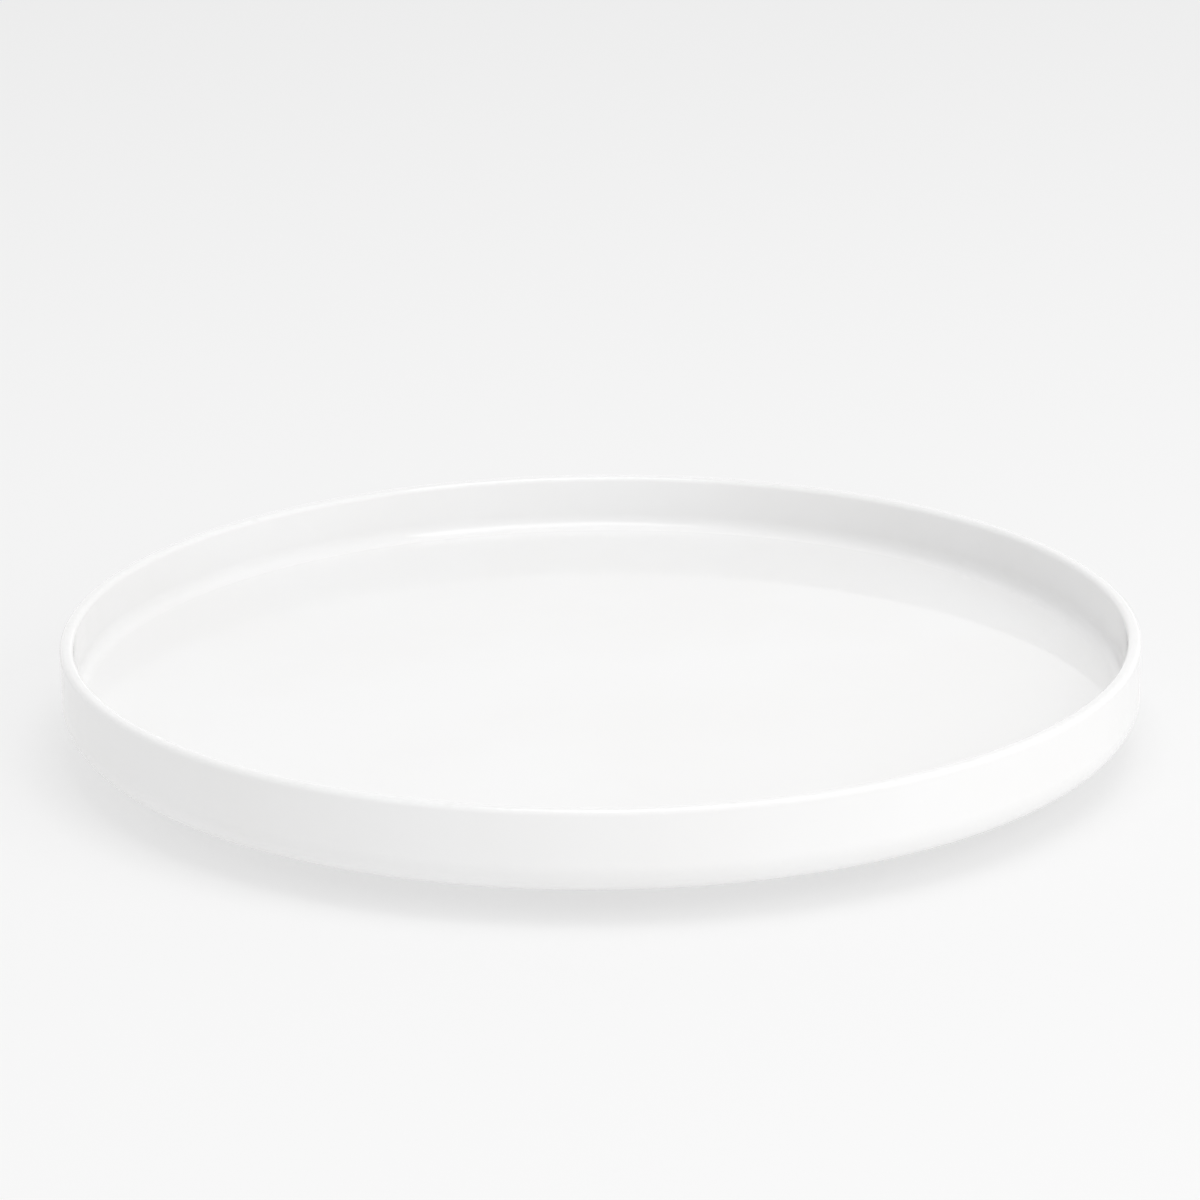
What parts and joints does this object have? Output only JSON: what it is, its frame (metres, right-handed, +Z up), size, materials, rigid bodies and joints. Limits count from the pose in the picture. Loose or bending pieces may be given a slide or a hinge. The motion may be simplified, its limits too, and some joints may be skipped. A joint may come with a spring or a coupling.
{
  "type": "lazy susan turntable",
  "caption": "Round white walled tray that turns freely on a ball bearing over a low round base with soft feet.",
  "frame": {"origin": "on the axis of rotation, level with the underside of the feet", "axes": "+Z up along the axis of rotation, +X through the first foot and the first ball, -Y towards the front"},
  "size_m": [0.305, 0.305, 0.0331],
  "materials": {
    "tray": "high gloss moulded white",
    "base": "fine satin moulded white",
    "race": "turned and lightly polished",
    "screw": "zinc plated",
    "ball": "mirror polished",
    "cage": "natural acetal",
    "bush": "natural acetal, smooth",
    "insert": "turned brass",
    "foot": "soft translucent grey"
  },
  "bodies": {
    "base": {"base": "base", "pivot_bush": "bush", "lower_race": "race", "lower_race_screws": "screw", "foot_1": "foot", "foot_2": "foot", "foot_3": "foot", "foot_4": "foot", "foot_5": "foot", "foot_6": "foot"},
    "tray": {"tray": "tray", "upper_race": "race", "upper_race_screws": "screw", "pivot_insert": "insert", "pivot_screw": "screw", "pivot_washer": "screw"},
    "cage": {"ball_cage": "cage"},
    "ball_1": {"ball_1": "ball"},
    "ball_2": {"ball_2": "ball"},
    "ball_3": {"ball_3": "ball"},
    "ball_4": {"ball_4": "ball"},
    "ball_5": {"ball_5": "ball"},
    "ball_6": {"ball_6": "ball"},
    "ball_7": {"ball_7": "ball"},
    "ball_8": {"ball_8": "ball"},
    "ball_9": {"ball_9": "ball"},
    "ball_10": {"ball_10": "ball"},
    "ball_11": {"ball_11": "ball"},
    "ball_12": {"ball_12": "ball"},
    "ball_13": {"ball_13": "ball"},
    "ball_14": {"ball_14": "ball"},
    "ball_15": {"ball_15": "ball"},
    "ball_16": {"ball_16": "ball"},
    "ball_17": {"ball_17": "ball"},
    "ball_18": {"ball_18": "ball"}
  },
  "joints": [
    {"name": "tray_spin", "type": "hinge", "parent": "base", "child": "tray", "pos_m": [0, 0, 0], "axis": [0, 0, 1], "continuous": true},
    {"name": "cage_orbit", "type": "hinge", "parent": "base", "child": "cage", "pos_m": [0, 0, 0], "axis": [0, 0, 1], "continuous": true},
    {"name": "ball_1_roll", "type": "hinge", "parent": "cage", "child": "ball_1", "pos_m": [0.08, 0, 0.0086], "axis": [-1, 0, 0], "continuous": true},
    {"name": "ball_2_roll", "type": "hinge", "parent": "cage", "child": "ball_2", "pos_m": [0.07518, 0.02736, 0.0086], "axis": [-0.9397, -0.342, 0], "continuous": true},
    {"name": "ball_3_roll", "type": "hinge", "parent": "cage", "child": "ball_3", "pos_m": [0.06128, 0.05142, 0.0086], "axis": [-0.766, -0.6428, 0], "continuous": true},
    {"name": "ball_4_roll", "type": "hinge", "parent": "cage", "child": "ball_4", "pos_m": [0.04, 0.06928, 0.0086], "axis": [-0.5, -0.866, 0], "continuous": true},
    {"name": "ball_5_roll", "type": "hinge", "parent": "cage", "child": "ball_5", "pos_m": [0.01389, 0.07878, 0.0086], "axis": [-0.1736, -0.9848, 0], "continuous": true},
    {"name": "ball_6_roll", "type": "hinge", "parent": "cage", "child": "ball_6", "pos_m": [-0.01389, 0.07878, 0.0086], "axis": [0.1736, -0.9848, 0], "continuous": true},
    {"name": "ball_7_roll", "type": "hinge", "parent": "cage", "child": "ball_7", "pos_m": [-0.04, 0.06928, 0.0086], "axis": [0.5, -0.866, 0], "continuous": true},
    {"name": "ball_8_roll", "type": "hinge", "parent": "cage", "child": "ball_8", "pos_m": [-0.06128, 0.05142, 0.0086], "axis": [0.766, -0.6428, 0], "continuous": true},
    {"name": "ball_9_roll", "type": "hinge", "parent": "cage", "child": "ball_9", "pos_m": [-0.07518, 0.02736, 0.0086], "axis": [0.9397, -0.342, 0], "continuous": true},
    {"name": "ball_10_roll", "type": "hinge", "parent": "cage", "child": "ball_10", "pos_m": [-0.08, 0, 0.0086], "axis": [1, 0, 0], "continuous": true},
    {"name": "ball_11_roll", "type": "hinge", "parent": "cage", "child": "ball_11", "pos_m": [-0.07518, -0.02736, 0.0086], "axis": [0.9397, 0.342, 0], "continuous": true},
    {"name": "ball_12_roll", "type": "hinge", "parent": "cage", "child": "ball_12", "pos_m": [-0.06128, -0.05142, 0.0086], "axis": [0.766, 0.6428, 0], "continuous": true},
    {"name": "ball_13_roll", "type": "hinge", "parent": "cage", "child": "ball_13", "pos_m": [-0.04, -0.06928, 0.0086], "axis": [0.5, 0.866, 0], "continuous": true},
    {"name": "ball_14_roll", "type": "hinge", "parent": "cage", "child": "ball_14", "pos_m": [-0.01389, -0.07878, 0.0086], "axis": [0.1736, 0.9848, 0], "continuous": true},
    {"name": "ball_15_roll", "type": "hinge", "parent": "cage", "child": "ball_15", "pos_m": [0.01389, -0.07878, 0.0086], "axis": [-0.1736, 0.9848, 0], "continuous": true},
    {"name": "ball_16_roll", "type": "hinge", "parent": "cage", "child": "ball_16", "pos_m": [0.04, -0.06928, 0.0086], "axis": [-0.5, 0.866, 0], "continuous": true},
    {"name": "ball_17_roll", "type": "hinge", "parent": "cage", "child": "ball_17", "pos_m": [0.06128, -0.05142, 0.0086], "axis": [-0.766, 0.6428, 0], "continuous": true},
    {"name": "ball_18_roll", "type": "hinge", "parent": "cage", "child": "ball_18", "pos_m": [0.07518, -0.02736, 0.0086], "axis": [-0.9397, 0.342, 0], "continuous": true}
  ],
  "couplings": [
    {"joint": "cage_orbit", "follows": "tray_spin", "ratio": 0.5},
    {"joint": "ball_1_roll", "follows": "tray_spin", "ratio": 13.333},
    {"joint": "ball_2_roll", "follows": "tray_spin", "ratio": 13.333},
    {"joint": "ball_3_roll", "follows": "tray_spin", "ratio": 13.333},
    {"joint": "ball_4_roll", "follows": "tray_spin", "ratio": 13.333},
    {"joint": "ball_5_roll", "follows": "tray_spin", "ratio": 13.333},
    {"joint": "ball_6_roll", "follows": "tray_spin", "ratio": 13.333},
    {"joint": "ball_7_roll", "follows": "tray_spin", "ratio": 13.333},
    {"joint": "ball_8_roll", "follows": "tray_spin", "ratio": 13.333},
    {"joint": "ball_9_roll", "follows": "tray_spin", "ratio": 13.333},
    {"joint": "ball_10_roll", "follows": "tray_spin", "ratio": 13.333},
    {"joint": "ball_11_roll", "follows": "tray_spin", "ratio": 13.333},
    {"joint": "ball_12_roll", "follows": "tray_spin", "ratio": 13.333},
    {"joint": "ball_13_roll", "follows": "tray_spin", "ratio": 13.333},
    {"joint": "ball_14_roll", "follows": "tray_spin", "ratio": 13.333},
    {"joint": "ball_15_roll", "follows": "tray_spin", "ratio": 13.333},
    {"joint": "ball_16_roll", "follows": "tray_spin", "ratio": 13.333},
    {"joint": "ball_17_roll", "follows": "tray_spin", "ratio": 13.333},
    {"joint": "ball_18_roll", "follows": "tray_spin", "ratio": 13.333}
  ]
}
